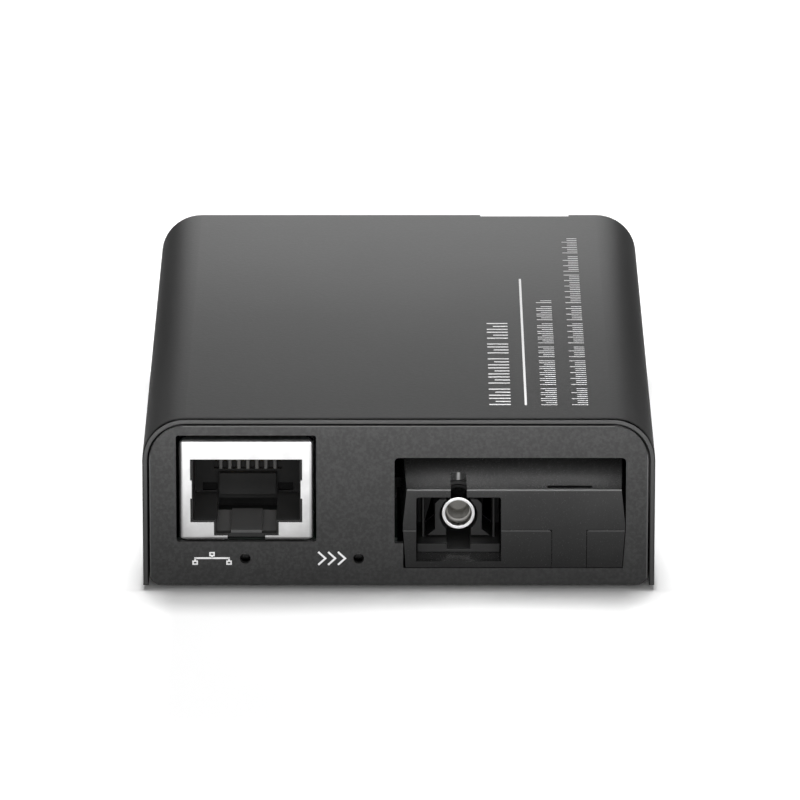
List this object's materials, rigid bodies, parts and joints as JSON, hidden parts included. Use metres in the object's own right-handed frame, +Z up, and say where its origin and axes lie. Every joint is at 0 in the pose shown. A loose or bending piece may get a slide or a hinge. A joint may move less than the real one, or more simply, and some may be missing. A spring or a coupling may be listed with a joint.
{
  "type": "fibre media converter",
  "caption": "Small black folded-steel box that joins a copper network cable to a single optical fibre, with two status lamps.",
  "frame": {"origin": "middle of the footprint, on the surface that the rubber feet stand on", "axes": "+X to the right as seen from the port side, +Y from the ports to the back, +Z up"},
  "size_m": [0.057, 0.085, 0.0199],
  "materials": {
    "case_black": "fine black powder coat",
    "screw_black": "blackened steel",
    "foot_rubber": "matt rubber",
    "board_green": "solder mask over glass fibre",
    "standoff_steel": "zinc plated",
    "tinned_sheet": "bright tin plate",
    "jack_plastic": "moulded",
    "contact_gold": "gold plated bronze",
    "lamp_resin": "clear resin, unlit",
    "module_plastic": "moulded, fine satin",
    "carrier_plastic": "moulded",
    "barrel_steel": "turned and polished",
    "zirconia": "ground",
    "block_steel": "machined",
    "filter_glass": "coated glass",
    "can_gold": "gold plated steel",
    "chip_black": "moulded epoxy",
    "pin_tin": "tinned",
    "crystal_steel": "drawn can",
    "ferrite": "sintered ferrite",
    "capacitor_can": "bare can",
    "ceramic_tan": "fired ceramic",
    "resistor_black": "fired ceramic"
  },
  "bodies": {
    "root": {"top_cover": "case_black", "base_tray": "case_black", "cover_screws": "screw_black", "rubber_feet": "foot_rubber", "main_board": "board_green", "board_standoffs": "standoff_steel", "board_screws": "standoff_steel", "link_led": "lamp_resin", "speed_led": "lamp_resin", "jack_shield": "tinned_sheet", "jack_housing": "jack_plastic", "jack_contacts": "contact_gold", "jack_contact_block": "jack_plastic", "optic_upper_shell": "module_plastic", "optic_lower_shell": "module_plastic", "optic_latch_carrier": "carrier_plastic", "optic_barrel": "barrel_steel", "split_sleeve": "zirconia", "fibre_stub": "zirconia", "stub_holder": "block_steel", "prism_block": "block_steel", "wavelength_filter": "filter_glass", "laser_can": "can_gold", "receiver_can": "can_gold", "optic_board": "board_green", "laser_driver_chip": "chip_black", "optic_pins": "pin_tin", "power_jack_housing": "jack_plastic", "power_jack_pin": "pin_tin", "power_jack_spring": "pin_tin", "converter_chip": "chip_black", "lan_magnetics": "chip_black", "memory_chip": "chip_black", "crystal_can": "crystal_steel", "voltage_regulator": "chip_black", "power_inductor": "ferrite", "bulk_capacitors": "capacitor_can", "ceramic_capacitors": "ceramic_tan", "chip_resistors": "resistor_black"}
  },
  "joints": []
}
